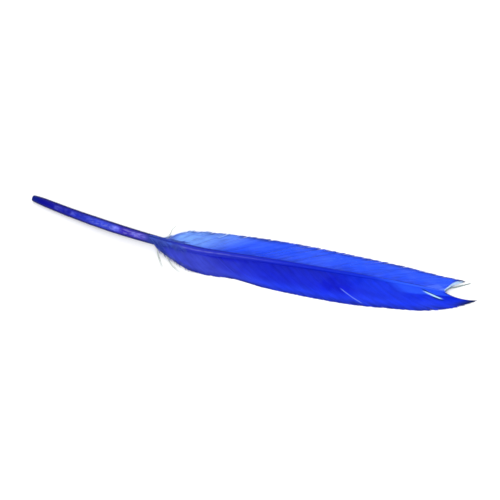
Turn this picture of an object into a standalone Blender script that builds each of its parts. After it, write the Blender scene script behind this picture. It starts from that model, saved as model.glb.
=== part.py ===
"""A dyed goose quill feather, 140 mm long, lying on its underside with the arched back up.

It is one grown piece: a bare round quill, the shaft that tapers from it, a vane on each
side made of locks of barbs, and a few downy strands where the vanes begin. The tip is
split into two lobes. Lengths are in millimetres, and X runs from the quill to the tip.
"""

import bisect
import math
import random

import bmesh
import bpy
from mathutils import Vector

MM = 0.001

LENGTH = 140.0
BOX_CENTRE = (LENGTH / 2 - 0.12, 2.07)

# The quill curves to the far side over this length, by this much at its end.
BEND_LENGTH = 63.0
BEND_OFFSET = 12.2
BEND_POWER = 1.7

# Shaft: distance from the quill's end, height of its middle, width, depth.
SHAFT = (
    (0.0, 0.95, 1.85, 1.85),
    (3.0, 1.28, 2.4, 2.4),
    (12.0, 1.75, 2.8, 2.8),
    (28.0, 2.60, 3.1, 3.1),
    (41.0, 3.15, 2.8, 2.9),
    (55.0, 3.55, 1.9, 2.2),
    (80.0, 3.75, 1.5, 1.8),
    (105.0, 3.10, 1.05, 1.3),
    (120.0, 2.25, 0.75, 0.95),
    (130.2, 1.55, 0.50, 0.62),
)
SHAFT_STEP = 2.4
SHAFT_SIDES = 12
ROUND_TO = 36.0         # the quill is round up to here
SQUARE_FROM = 56.0      # and the shaft is squarish from here on
SQUARENESS = 0.35       # 0 is round, 1 is a sharp square
GROOVE_SHARE = 0.16     # depth of the groove under the shaft, as a share of its half depth
LIP_LENGTH = 0.5        # the quill's end is rounded off over this length
LIP_SHARE = 0.78        # to this share of its thickness
PORE_RADIUS = 0.38      # small hole in the quill's end
PORE_DEPTH = 1.3

# Height of the vanes where they meet the shaft.
CREST = (
    (40.0, 3.3), (50.0, 3.85), (65.0, 4.15), (80.0, 4.15), (97.0, 3.7),
    (112.0, 2.95), (124.0, 2.15), (132.0, 1.45), (141.0, 0.55),
)
# Height of the vanes' outer edges, which lie on the surface from about the middle on.
EDGE = ((40.0, 2.1), (47.0, 1.25), (56.0, 0.3), (64.0, 0.2), (100.0, 0.2), (141.0, 0.2))
FALL_POWER = 1.5        # the vanes fall steeply at the shaft and level out at the edge

ROOT_THICKNESS = 0.46
EDGE_THICKNESS = 0.36
ROOT_INSET = 0.09       # the vanes start this far from the shaft's middle, inside it

# Each vane: how far it reaches from the shaft, by distance from the quill's end.
FAR_REACH = (
    (40.0, 4.0), (46.0, 6.9), (53.0, 9.2), (70.0, 10.6), (90.0, 10.1), (110.0, 8.7),
    (125.0, 7.2), (141.0, 6.2),
)
NEAR_REACH = (
    (40.0, 3.4), (46.0, 5.0), (54.0, 6.1), (66.0, 6.3), (77.0, 7.7), (92.0, 8.8),
    (106.0, 8.8), (116.0, 8.2), (126.0, 7.0), (141.0, 5.0),
)

# Chosen barbs: where one leaves the shaft, where it ends, and how far it bows out, as a
# share of its length. The others lie between them.
FAR_BARBS = (
    (40.6, 42.5, 3.9, 0.02),
    (42.6, 46.8, 7.0, 0.07),
    (45.0, 51.2, 9.1, 0.08),
    (49.0, 58.0, 10.0, 0.08),
    (57.0, 69.5, 10.5, 0.08),
    (71.0, 86.5, 10.2, 0.08),
    (86.0, 102.5, 9.1, 0.08),
    (101.0, 117.2, 7.9, 0.08),
    (112.0, 127.4, 6.6, 0.07),
    (119.5, 134.9, 5.9, 0.06),
    (124.2, 133.0, 4.4, 0.06),
    (129.5, 130.8, 1.5, 0.05),
)
NEAR_BARBS = (
    (40.2, 42.6, 1.9, 0.05),
    (42.0, 47.2, 4.0, 0.07),
    (45.0, 52.4, 5.7, 0.08),
    (49.0, 58.5, 6.15, 0.08),
    (54.5, 66.5, 6.0, 0.08),
    (62.0, 75.5, 7.4, 0.08),
    (73.0, 88.6, 8.4, 0.08),
    (86.0, 102.0, 8.8, 0.08),
    (98.0, 113.6, 8.15, 0.08),
    (108.0, 124.0, 7.1, 0.08),
    (116.0, 132.2, 4.9, 0.09),
    (122.5, 137.2, 2.4, 0.12),
    (129.6, LENGTH, 0.6, 0.16),
)

LOCKS = 34              # locks of barbs in each vane
ROWS = (0.0, 0.1, 0.25, 0.41, 0.57, 0.75, 0.9, 1.0)
RIDGE_AT = 0.62         # where a lock's ridge runs, as a share of its width
RIDGE_HEIGHT = 0.13     # a lock's ridge stands this far up, and its borders lie as far down
RIDGE_START = 0.2       # share of the way out at which the ridge has its full height
NOTCH_DEPTH = 0.7       # nick in the edge between two locks
LOCK_JITTER = 0.22      # uneven widths of the locks, as a share of one

# The near vane has parted between two locks close to the tip.
SLIT_ROOT = 121.6
SLIT_ROWS = (1, 4)      # it opens and closes at these rows
SLIT_WIDTH = 0.6
SLIT_ANGLE = math.radians(18)   # between the slit and the shaft

# Loose strands: the points that each follows (x, y, height), and its width at the root.
LOOSE_STRAND = ((129.9, 0.2, 1.5), (131.1, 1.75, 1.15), (133.2, 2.95, 0.8), (137.1, 5.3, 0.4))
STRAND_WIDTH = 0.5
DOWN = (
    ((43.0, 1.6, 3.2), (44.5, 4.6, 2.9), (44.8, 7.4, 2.5), (46.2, 9.7, 2.2)),
    ((41.2, 1.2, 2.9), (41.9, -1.2, 2.1), (43.3, -3.9, 1.3), (45.2, -7.2, 1.0)),
    ((43.0, 1.0, 3.0), (45.2, -2.4, 1.9), (47.5, -4.9, 1.2), (50.2, -6.6, 0.9)),
)
DOWN_WIDTH = 0.42
STRAND_THICKNESS = 0.3
STRAND_TIP_SHARE = 0.3  # a strand's width at its tip, as a share of that at its root
STRAND_STEPS = 9


def through(stations, x, column=1):
    """The column's value at x, on a smooth curve through the stations."""
    places = [row[0] for row in stations]
    last = len(places) - 1
    i = min(max(bisect.bisect_right(places, x) - 1, 0), last - 1)

    def slope(k):
        before, after = max(k - 1, 0), min(k + 1, last)
        rise = stations[after][column] - stations[before][column]
        return rise / (places[after] - places[before])

    span = places[i + 1] - places[i]
    t = min(max((x - places[i]) / span, 0.0), 1.0)
    return (
        (2 * t**3 - 3 * t**2 + 1) * stations[i][column]
        + (t**3 - 2 * t**2 + t) * span * slope(i)
        + (3 * t**2 - 2 * t**3) * stations[i + 1][column]
        + (t**3 - t**2) * span * slope(i + 1)
    )


def shaft_side(x):
    """How far the shaft's middle lies to the far side at x."""
    return BEND_OFFSET * max(0.0, 1 - x / BEND_LENGTH) ** BEND_POWER


def shaft_middle(x):
    return Vector((x, shaft_side(x), through(SHAFT, x)))


def vane_height(x, y, reach):
    """Height of a vane's upper face: it falls from the crest to the edge."""
    away = min(abs(y - shaft_side(x)) / through(reach, x), 1.0)
    edge = through(EDGE, x)
    return edge + (through(CREST, x) - edge) * (1 - away) ** FALL_POWER


def in_metres(point):
    """The point in the part's own frame, whose origin is under the middle of its box."""
    return Vector((point[0] - BOX_CENTRE[0], point[1] - BOX_CENTRE[1], point[2])) * MM


def mesh_object(name, bm):
    """A mesh object of the bmesh, with its faces turned outwards."""
    bmesh.ops.recalc_face_normals(bm, faces=bm.faces)
    mesh = bpy.data.meshes.new(name)
    bm.to_mesh(mesh)
    bm.free()
    obj = bpy.data.objects.new(name, mesh)
    bpy.context.scene.collection.objects.link(obj)
    return obj


def shaft_ring(x):
    """Points round the shaft at x, round at the quill and squarish with a groove beyond."""
    middle, ahead = shaft_middle(x), shaft_middle(x + 0.1)
    along = (ahead - middle).normalized()
    across = Vector((-along.y, along.x, 0.0)).normalized()
    upward = along.cross(across)
    half_width = through(SHAFT, x, 2) / 2
    half_depth = through(SHAFT, x, 3) / 2
    square = min(max((x - ROUND_TO) / (SQUARE_FROM - ROUND_TO), 0.0), 1.0)
    power = 1.0 - SQUARENESS * square
    points = []
    for i in range(SHAFT_SIDES):
        angle = 2 * math.pi * (i + 0.5) / SHAFT_SIDES
        side, up = math.cos(angle), math.sin(angle)
        side = math.copysign(abs(side) ** power, side)
        up = math.copysign(abs(up) ** power, up)
        if up < 0 and abs(side) < 0.5:
            up += GROOVE_SHARE * square
        points.append(middle + across * side * half_width + upward * up * half_depth)
    return points


def make_shaft():
    """Quill and shaft: rings joined end to end, with a small pore in the quill's end."""
    bm = bmesh.new()
    end = SHAFT[-1][0]
    steps = round(end / SHAFT_STEP)
    places = [0.0, LIP_LENGTH] + [end * i / steps for i in range(1, steps + 1)]
    rings = []
    for x in places:
        points = shaft_ring(x)
        if x == 0.0:
            middle = shaft_middle(x)
            points = [middle.lerp(p, LIP_SHARE) for p in points]
        rings.append([bm.verts.new(in_metres(p)) for p in points])
    for lower, upper in zip(rings, rings[1:]):
        for i in range(SHAFT_SIDES):
            j = (i + 1) % SHAFT_SIDES
            bm.faces.new((lower[i], lower[j], upper[j], upper[i]))
    bm.faces.new(rings[-1])

    # The pore narrows to a point inside the quill.
    mouth_middle, floor = in_metres(shaft_middle(0.0)), in_metres(shaft_middle(PORE_DEPTH))
    mouth = []
    for vert in rings[0]:
        spoke = (vert.co - mouth_middle).normalized()
        mouth.append(bm.verts.new(mouth_middle + spoke * PORE_RADIUS * MM))
    bottom = bm.verts.new(floor)
    for i in range(SHAFT_SIDES):
        j = (i + 1) % SHAFT_SIDES
        bm.faces.new((rings[0][j], rings[0][i], mouth[i], mouth[j]))
        bm.faces.new((mouth[j], mouth[i], bottom))
    return mesh_object("feather", bm)


def barb_point(barbs, root, share, side):
    """A point on the barb that leaves the shaft at root, at a share of its way out."""
    start = Vector((root, shaft_side(root) + side * ROOT_INSET))
    tip = Vector((through(barbs, root, 1), side * through(barbs, root, 2)))
    run = tip - start
    outward = Vector((-run.y, run.x)) * side
    control = (start + tip) / 2 + outward * through(barbs, root, 3)
    return (1 - share) ** 2 * start + 2 * share * (1 - share) * control + share**2 * tip


def lock_columns(barbs, seed, slit_root=None):
    """Where the locks' borders and ridges leave the shaft: (root, 0 at a border or 1)."""
    dice = random.Random(seed)
    first, last = barbs[0][0], barbs[-1][0]
    pitch = (last - first) / LOCKS
    borders = [first + pitch * i for i in range(LOCKS + 1)]
    for i in range(1, LOCKS):
        borders[i] += pitch * dice.uniform(-LOCK_JITTER, LOCK_JITTER)
    if slit_root:
        nearest = min(range(LOCKS), key=lambda i: abs(borders[i] - slit_root))
        borders[nearest] = slit_root
    columns = []
    for left, right in zip(borders, borders[1:]):
        columns += [(left, 0), (left + (right - left) * RIDGE_AT, 1)]
    return columns + [(last, 0)]


def vane_vertex(barbs, reach, side, root, ridge, share):
    """Upper and lower point of a vane at a share of the way along a barb."""
    length = (barb_point(barbs, root, 1.0, side) - barb_point(barbs, root, 0.0, side)).length
    if not ridge and root < barbs[-1][0]:
        share *= 1 - NOTCH_DEPTH / length
    x, y = barb_point(barbs, root, share, side)
    height = vane_height(x, y, reach)
    relief = RIDGE_HEIGHT * (1 if ridge else -1) * min(share / RIDGE_START, 1.0)
    thickness = ROOT_THICKNESS + (EDGE_THICKNESS - ROOT_THICKNESS) * share
    top = height + relief * (1 - 0.5 * share)
    bottom = max(height + relief * (1 - share) - thickness, 0.0)
    return Vector((x, y, top)), Vector((x, y, bottom))


def slit_gape(row):
    """Width of the slit at a row between its ends, widest half way along it."""
    opens, closes = SLIT_ROWS
    return SLIT_WIDTH * math.sin(math.pi * (row - opens) / (closes - opens))


def make_vane(name, barbs, reach, side, seed, slit_root=None):
    """A vane as a thin shell of locks, two of which part where slit_root is given."""
    bm = bmesh.new()
    lower_of = {}
    columns = lock_columns(barbs, seed, slit_root)

    def vertex_pair(column, share, aside):
        top, bottom = vane_vertex(barbs, reach, side, *column, share)
        upper = bm.verts.new(in_metres(top + aside))
        lower_of[upper] = bm.verts.new(in_metres(bottom + aside))
        return upper

    # A column's vertices as its quillward and its tipward lock use them.
    quillward, tipward = [], []
    across = Vector((-math.sin(SLIT_ANGLE), side * math.cos(SLIT_ANGLE), 0.0))
    for column in columns:
        quillward.append([])
        tipward.append([])
        for row, share in enumerate(ROWS):
            parted = column[0] == slit_root and SLIT_ROWS[0] < row < SLIT_ROWS[1]
            aside = across * (slit_gape(row) / 2 if parted else 0.0)
            vertex = vertex_pair(column, share, aside)
            quillward[-1].append(vertex)
            tipward[-1].append(vertex_pair(column, share, -aside) if parted else vertex)

    for left, right in zip(tipward, quillward[1:]):
        for row in range(len(ROWS) - 1):
            bm.faces.new((left[row], right[row], right[row + 1], left[row + 1]))

    upper_faces = list(bm.faces)
    rim = [edge for edge in bm.edges if edge.is_boundary]
    for face in upper_faces:
        bm.faces.new([lower_of[vert] for vert in reversed(face.verts)])
    for edge in rim:
        a, b = edge.verts
        bm.faces.new((a, b, lower_of[b], lower_of[a]))
    return mesh_object(name, bm)


def make_strand(name, route, root_width):
    """A loose strand: a thin four-sided blade along a smooth route, narrow at its tip."""
    bm = bmesh.new()
    stations = [(i, *point) for i, point in enumerate(route)]
    last = len(route) - 1
    near = 0.5 / STRAND_STEPS

    def place(share):
        return Vector([through(stations, share * last, column) for column in (1, 2, 3)])

    rings = []
    for step in range(STRAND_STEPS + 1):
        share = step / STRAND_STEPS
        middle = place(share)
        along = place(min(share + near, 1.0)) - place(max(share - near, 0.0))
        across = Vector((-along.y, along.x, 0.0)).normalized()
        taper = 1 - (1 - STRAND_TIP_SHARE) * share
        side = across * root_width * taper / 2
        up = Vector((0.0, 0.0, STRAND_THICKNESS * taper / 2))
        corners = (middle + side, middle + up, middle - side, middle - up)
        rings.append([bm.verts.new(in_metres(p)) for p in corners])
    for lower, upper in zip(rings, rings[1:]):
        for i in range(4):
            j = (i + 1) % 4
            bm.faces.new((lower[i], lower[j], upper[j], upper[i]))
    bm.faces.new(rings[0])
    bm.faces.new(rings[-1])
    return mesh_object(name, bm)


def fuse(whole, pieces):
    """Joins the pieces to the whole in one solid, and keeps them as hidden helpers."""
    helpers = bpy.data.collections.new("grown together")
    bpy.context.scene.collection.children.link(helpers)
    for piece in pieces:
        bpy.context.scene.collection.objects.unlink(piece)
        helpers.objects.link(piece)
        piece.hide_render = True
        piece.display_type = "WIRE"
    joint = whole.modifiers.new("grown together", "BOOLEAN")
    joint.operation = "UNION"
    joint.solver = "EXACT"
    joint.operand_type = "COLLECTION"
    joint.collection = helpers


def dyed_feather_material():
    material = bpy.data.materials.new("dyed_feather")
    material.use_nodes = True
    shader = material.node_tree.nodes["Principled BSDF"]
    shader.inputs["Base Color"].default_value = (0.028, 0.080, 0.80, 1.0)
    shader.inputs["Roughness"].default_value = 0.5
    shader.inputs["Metallic"].default_value = 0.0
    return material


def build():
    for obj in list(bpy.data.objects):
        bpy.data.objects.remove(obj, do_unlink=True)
    feather = make_shaft()
    feather.data.materials.append(dyed_feather_material())
    pieces = [
        make_vane("far vane", FAR_BARBS, FAR_REACH, 1, seed=3),
        make_vane("near vane", NEAR_BARBS, NEAR_REACH, -1, seed=8, slit_root=SLIT_ROOT),
        make_strand("loose strand", LOOSE_STRAND, STRAND_WIDTH),
    ]
    for number, route in enumerate(DOWN, 1):
        pieces.append(make_strand(f"down {number}", route, DOWN_WIDTH))
    fuse(feather, pieces)
    feather.data.shade_smooth()
    feather.data.set_sharp_from_angle(angle=math.radians(40))


build()
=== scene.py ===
import bisect
import functools
import math
import random

import bmesh
import bpy
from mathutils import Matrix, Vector


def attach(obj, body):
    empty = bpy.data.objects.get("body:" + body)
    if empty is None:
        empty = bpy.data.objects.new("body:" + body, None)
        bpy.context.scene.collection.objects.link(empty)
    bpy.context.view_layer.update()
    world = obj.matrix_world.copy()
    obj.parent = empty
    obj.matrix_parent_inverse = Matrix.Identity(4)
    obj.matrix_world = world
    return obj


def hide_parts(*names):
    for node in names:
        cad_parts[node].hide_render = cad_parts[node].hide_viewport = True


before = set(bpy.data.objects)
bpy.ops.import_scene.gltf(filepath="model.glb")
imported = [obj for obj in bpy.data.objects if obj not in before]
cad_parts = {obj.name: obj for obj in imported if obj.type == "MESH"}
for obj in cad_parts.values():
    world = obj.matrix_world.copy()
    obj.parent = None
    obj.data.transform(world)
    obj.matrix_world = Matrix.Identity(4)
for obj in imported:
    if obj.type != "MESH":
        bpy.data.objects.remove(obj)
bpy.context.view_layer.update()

print("solid feather loaded")

# The drawing is in millimetres: x from the quill's end to the tip, y to the far side.
mm = 0.001
boxCentre = (69.88, 2.07)


def toPart(point):
    return Vector((point[0] - boxCentre[0], point[1] - boxCentre[1], point[2])) * mm


def through(stations, x, column=1):
    # value of one column at x, on a smooth curve through the stations
    places = [row[0] for row in stations]
    last = len(places) - 1
    i = min(max(bisect.bisect_right(places, x) - 1, 0), last - 1)

    def slope(k):
        before, after = max(k - 1, 0), min(k + 1, last)
        return (stations[after][column] - stations[before][column]) / (places[after] - places[before])

    span = places[i + 1] - places[i]
    t = min(max((x - places[i]) / span, 0.0), 1.0)
    return ((2 * t**3 - 3 * t**2 + 1) * stations[i][column]
            + (t**3 - 2 * t**2 + t) * span * slope(i)
            + (3 * t**2 - 2 * t**3) * stations[i + 1][column]
            + (t**3 - t**2) * span * slope(i + 1))


# Small helpers for node trees and meshes

nodeGrid = (12, 190, 260)      # nodes in a row of the tree, and the distances between them


def feed(tree, node, inputs):
    for key, value in inputs.items():
        if isinstance(value, bpy.types.NodeSocket):
            tree.links.new(value, node.inputs[key])
        else:
            node.inputs[key].default_value = value


def addNode(tree, kind, inputs=None, **settings):
    node = tree.nodes.new(kind)
    row, column = divmod(len(tree.nodes), nodeGrid[0])
    node.location = (column * nodeGrid[1], -row * nodeGrid[2])
    for name, value in settings.items():
        setattr(node, name, value)
    feed(tree, node, inputs or {})
    return node


def calc(tree, operation, first, second=0.0):
    return addNode(tree, "ShaderNodeMath", {0: first, 1: second}, operation=operation).outputs[0]


def plus(tree, *terms):
    return functools.reduce(lambda first, second: calc(tree, "ADD", first, second), terms)


def times(tree, *factors):
    return functools.reduce(lambda first, second: calc(tree, "MULTIPLY", first, second), factors)


def remap(tree, value, fromMin, fromMax, toMin=0.0, toMax=1.0, smooth=False):
    kind = "SMOOTHSTEP" if smooth else "LINEAR"
    sockets = {"Value": value, "From Min": fromMin, "From Max": fromMax, "To Min": toMin, "To Max": toMax}
    return addNode(tree, "ShaderNodeMapRange", sockets, interpolation_type=kind).outputs[0]


def splitVector(tree, vector):
    return addNode(tree, "ShaderNodeSeparateXYZ", {0: vector}).outputs


def vectorOf(tree, x=0.0, y=0.0, z=0.0):
    return addNode(tree, "ShaderNodeCombineXYZ", {"X": x, "Y": y, "Z": z}).outputs[0]


def vectorMath(tree, operation, first, second):
    return addNode(tree, "ShaderNodeVectorMath", {0: first, 1: second}, operation=operation).outputs[0]


def scaled(tree, vector, factor):
    return addNode(tree, "ShaderNodeVectorMath", {0: vector, "Scale": factor}, operation="SCALE").outputs[0]


def noise(tree, place, scale=1.0, detail=2.0, roughness=0.5):
    sockets = {"Vector": place, "Scale": scale, "Detail": detail, "Roughness": roughness}
    return addNode(tree, "ShaderNodeTexNoise", sockets).outputs["Fac"]


def diceValue(tree, seed, low, high, offset=0):
    sockets = {2: low, 3: high, "Seed": plus(tree, seed, offset)}
    return addNode(tree, "FunctionNodeRandomValue", sockets).outputs[1]


def blendColors(tree, factor, first, second):
    if isinstance(second, tuple):
        second = (*second, 1.0)
    return addNode(tree, "ShaderNodeMix", {0: factor, 6: first, 7: second}, data_type="RGBA").outputs[2]


def ramp(tree, value, stops, smooth=False):
    # each stop is a place with a colour or a plain amount
    node = addNode(tree, "ShaderNodeValToRGB", {"Fac": value})
    node.color_ramp.interpolation = "EASE" if smooth else "LINEAR"
    marks = node.color_ramp.elements
    while len(marks) < len(stops):
        marks.new(0.5)
    for mark, (place, color) in zip(marks, stops):
        mark.position = place
        mark.color = (*color, 1.0) if isinstance(color, tuple) else (color, color, color, 1.0)
    return node.outputs["Color"]


def attribute(tree, name, output="Fac"):
    return addNode(tree, "ShaderNodeAttribute", attribute_name=name).outputs[output]


def objectPlace(tree):
    return addNode(tree, "ShaderNodeTexCoord").outputs["Object"]


def bumped(tree, height, strength, distance):
    sockets = {"Strength": strength, "Distance": distance, "Height": height}
    return addNode(tree, "ShaderNodeBump", sockets).outputs["Normal"]


def placedGroup(tree, group, inputs):
    return addNode(tree, "ShaderNodeGroup", inputs, node_tree=group).outputs


def newGroup(name, kind, given, made):
    tree = bpy.data.node_groups.new(name, kind)
    for direction, sockets in (("INPUT", given), ("OUTPUT", made)):
        for label, socket in sockets.items():
            tree.interface.new_socket(label, in_out=direction, socket_type="NodeSocket" + socket)
    return tree, tree.nodes.new("NodeGroupInput").outputs, tree.nodes.new("NodeGroupOutput")


def treeInputs(settings):
    # a piece's values for its tree are the ones whose names begin with a capital
    return {key: value for key, value in settings.items() if key[0].isupper()}


def growWith(obj, tree, values):
    # runs a geometry tree on the object with these values, and keeps the result as a plain mesh
    modifier = obj.modifiers.new(tree.name, "NODES")
    modifier.node_group = tree
    for item in tree.interface.items_tree:
        if item.in_out == "INPUT" and item.name in values:
            modifier[item.identifier] = values[item.name]
    depsgraph = bpy.context.evaluated_depsgraph_get()
    grown = bpy.data.meshes.new_from_object(obj.evaluated_get(depsgraph), depsgraph=depsgraph)
    obj.modifiers.remove(modifier)
    obj.data = grown
    grown.name = obj.name
    return obj


def linkedObject(name, data):
    obj = bpy.data.objects.new(name, data)
    bpy.context.scene.collection.objects.link(obj)
    return obj


def meshObject(name, bm):
    mesh = bpy.data.meshes.new(name)
    bm.to_mesh(mesh)
    bm.free()
    return linkedObject(name, mesh)


def startMaterial(name):
    material = bpy.data.materials.new(name)
    material.use_nodes = True
    tree = material.node_tree
    return material, tree, tree.nodes["Principled BSDF"]


# Shading effects that several materials share

def dyeMottleGroup():
    # uneven uptake of dye: broad clouds with finer flecks in them
    tree, given, made = newGroup("dye mottle", "ShaderNodeTree", {
        "Place": "Vector", "Color": "Color", "Pale": "Color",
        "Cloud Scale": "Float", "Fleck Scale": "Float", "Amount": "Float",
    }, {"Color": "Color", "Mask": "Float"})
    clouds = noise(tree, given["Place"], given["Cloud Scale"], 3.0, 0.55)
    flecks = noise(tree, given["Place"], given["Fleck Scale"], 2.0, 0.6)
    both = plus(tree, times(tree, clouds, 0.7), times(tree, flecks, 0.3))
    mask = remap(tree, both, 0.36, 0.64, smooth=True)
    mixed = blendColors(tree, times(tree, mask, given["Amount"]), given["Color"], given["Pale"])
    feed(tree, made, {"Mask": mask, "Color": mixed})
    return tree


def fibreGroup():
    # fine fibres that run lengthwise: a height for bump and a tone for colour
    tree, given, made = newGroup("fine fibres", "ShaderNodeTree", {
        "Place": "Vector", "Stretch": "Vector", "Contrast": "Float",
    }, {"Height": "Float", "Tone": "Float"})
    streaks = noise(tree, vectorMath(tree, "MULTIPLY", given["Place"], given["Stretch"]), 1.0, 3.0, 0.6)
    centred = calc(tree, "SUBTRACT", streaks, 0.5)
    feed(tree, made, {"Height": streaks, "Tone": plus(tree, times(tree, centred, given["Contrast"]), 1.0)})
    return tree


dyeMottle = dyeMottleGroup()
fineFibres = fibreGroup()


# Quill and shaft

shaft = {
    # distance from the quill's end, height of the middle, width, depth
    "stations": (
        (0.0, 0.95, 1.85, 1.85), (3.0, 1.28, 2.4, 2.4), (12.0, 1.75, 2.8, 2.8), (28.0, 2.60, 3.1, 3.1),
        (41.0, 3.15, 2.8, 2.9), (55.0, 3.55, 1.9, 2.2), (80.0, 3.75, 1.5, 1.8), (105.0, 3.10, 1.05, 1.3),
        (120.0, 2.25, 0.70, 0.90), (126.0, 1.85, 0.50, 0.66), (130.2, 1.55, 0.16, 0.20),
    ),
    "bendLength": 58.0, "bendOffset": 12.2, "bendPower": 1.56,
    "sides": 32, "step": 0.7,
    "roundTo": 36.0, "squareFrom": 56.0, "squareness": 0.35,
    "grooveShare": 0.22, "grooveWidth": 0.5,
    "lipLength": 0.5, "lipShare": 0.78, "endShare": 0.7, "poreRadius": 0.38, "poreDepth": 1.3,
    "creaseAngle": 50.0, "unevenness": 0.006, "evening": 0.35, "seed": 5,
    # colours along the middle of the quill and along its edges, the edges darkened with painted shade: distance
    # from the quill's end, colour
    "middleColors": (
        (0.0, (0.002, 0.014, 0.15)), (3.0, (0.002, 0.002, 0.21)), (9.0, (0.005, 0.005, 0.28)),
        (15.0, (0.010, 0.020, 0.40)), (20.0, (0.028, 0.050, 0.54)), (27.0, (0.036, 0.058, 0.56)),
        (30.0, (0.036, 0.022, 0.40)), (36.5, (0.044, 0.030, 0.38)), (39.5, (0.016, 0.036, 0.22)),
        (44.0, (0.014, 0.030, 0.27)), (50.0, (0.022, 0.028, 0.40)), (65.0, (0.012, 0.020, 0.40)),
        (90.0, (0.003, 0.014, 0.44)), (108.0, (0.003, 0.022, 0.52)), (116.0, (0.018, 0.080, 0.76)),
        (130.0, (0.034, 0.100, 0.78)),
    ),
    "farEdgeShadeColors": (
        (0.0, (0.002, 0.008, 0.09)), (4.0, (0.002, 0.001, 0.10)), (30.0, (0.002, 0.002, 0.11)),
        (38.0, (0.006, 0.010, 0.11)), (45.0, (0.003, 0.010, 0.18)), (60.0, (0.002, 0.010, 0.30)),
        (104.0, (0.002, 0.018, 0.46)), (114.0, (0.014, 0.070, 0.74)), (130.0, (0.020, 0.070, 0.70)),
    ),
    "nearEdgeShadeColors": (
        (0.0, (0.002, 0.008, 0.09)), (4.0, (0.002, 0.001, 0.10)), (30.0, (0.002, 0.002, 0.11)),
        (37.0, (0.005, 0.009, 0.12)), (41.0, (0.010, 0.026, 0.22)), (47.0, (0.024, 0.036, 0.42)),
        (60.0, (0.020, 0.034, 0.46)), (75.0, (0.003, 0.008, 0.42)), (104.0, (0.002, 0.008, 0.46)),
        (114.0, (0.014, 0.070, 0.74)), (130.0, (0.020, 0.070, 0.70)),
    ),
    # how much of each shows: distance from the quill's end, amount
    "pithShare": ((5.0, 0.0), (10.0, 0.22), (19.0, 0.30), (23.0, 0.75), (27.0, 1.0), (36.0, 0.9), (38.5, 0.0)),
    "lumpShare": (
        (7.0, 0.0), (8.6, 0.22), (10.4, 0.0), (12.6, 0.0), (13.4, 0.25), (14.6, 0.0), (25.8, 0.0), (27.6, 0.9),
        (28.6, 0.6), (29.5, 0.0), (33.0, 0.0), (33.8, 0.55), (34.6, 0.05), (35.6, 0.32), (36.4, 0.06),
        (37.3, 0.34), (38.5, 0.0),
    ),
    # where the painted highlight along the shaft shows
    "highlightShare": ((47.0, 0.0), (49.5, 0.8), (58.0, 0.8), (66.0, 0.30), (84.0, 0.0)),
    "mottleShare": ((0.0, 0.6), (14.0, 0.55), (23.0, 0.35), (36.0, 0.3), (40.0, 0.0)),
    "pithColors": ((27.0, (0.115, 0.14, 0.57)), (30.0, (0.15, 0.13, 0.48))),
    "lumpColor": (0.21, 0.24, 0.86), "highlightColor": (0.10, 0.11, 0.47), "deepDye": (0.003, 0.003, 0.15),
    "clearTowards": (0.82, -0.57),      # up and to the far side
    "highlightAt": -0.62,                    # -1 is the near side of the shaft, 1 the far side
    "pithStretch": (620.0, 2100.0, 2100.0), "fibreStretch": (90.0, 3600.0, 3600.0),
    "cloudScale": 420.0, "fleckScale": 1500.0, "bump": 0.35, "bumpDepth": 0.00004,
    "roughness": (0.31, 0.46), "gloss": 0.06, "glossRoughness": 0.16, "glossEnds": (0.036, 0.046),
    "specular": 0.05,
}
shaftLength = shaft["stations"][-1][0]


def shaftSide(x):
    return shaft["bendOffset"] * max(0.0, 1 - x / shaft["bendLength"]) ** shaft["bendPower"]


def shaftMiddle(x):
    return Vector((x, shaftSide(x), through(shaft["stations"], x)))


def shaftRing(x, swell):
    middle, ahead = shaftMiddle(x), shaftMiddle(x + 0.1)
    along = (ahead - middle).normalized()
    across = Vector((-along.y, along.x, 0.0)).normalized()
    upward = along.cross(across)
    halfWidth = through(shaft["stations"], x, 2) / 2 * swell
    halfDepth = through(shaft["stations"], x, 3) / 2 * swell
    square = min(max((x - shaft["roundTo"]) / (shaft["squareFrom"] - shaft["roundTo"]), 0.0), 1.0)
    power = 1.0 - shaft["squareness"] * square
    points = []
    for i in range(shaft["sides"]):
        angle = 2 * math.pi * (i + 0.5) / shaft["sides"]
        side, up = math.cos(angle), math.sin(angle)
        side = math.copysign(abs(side) ** power, side)
        up = math.copysign(abs(up) ** power, up)
        if up < 0:
            up += shaft["grooveShare"] * square * max(0.0, 1 - abs(side) / shaft["grooveWidth"])
        points.append((middle + across * side * halfWidth + upward * up * halfDepth, up, side))
    return points


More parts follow.
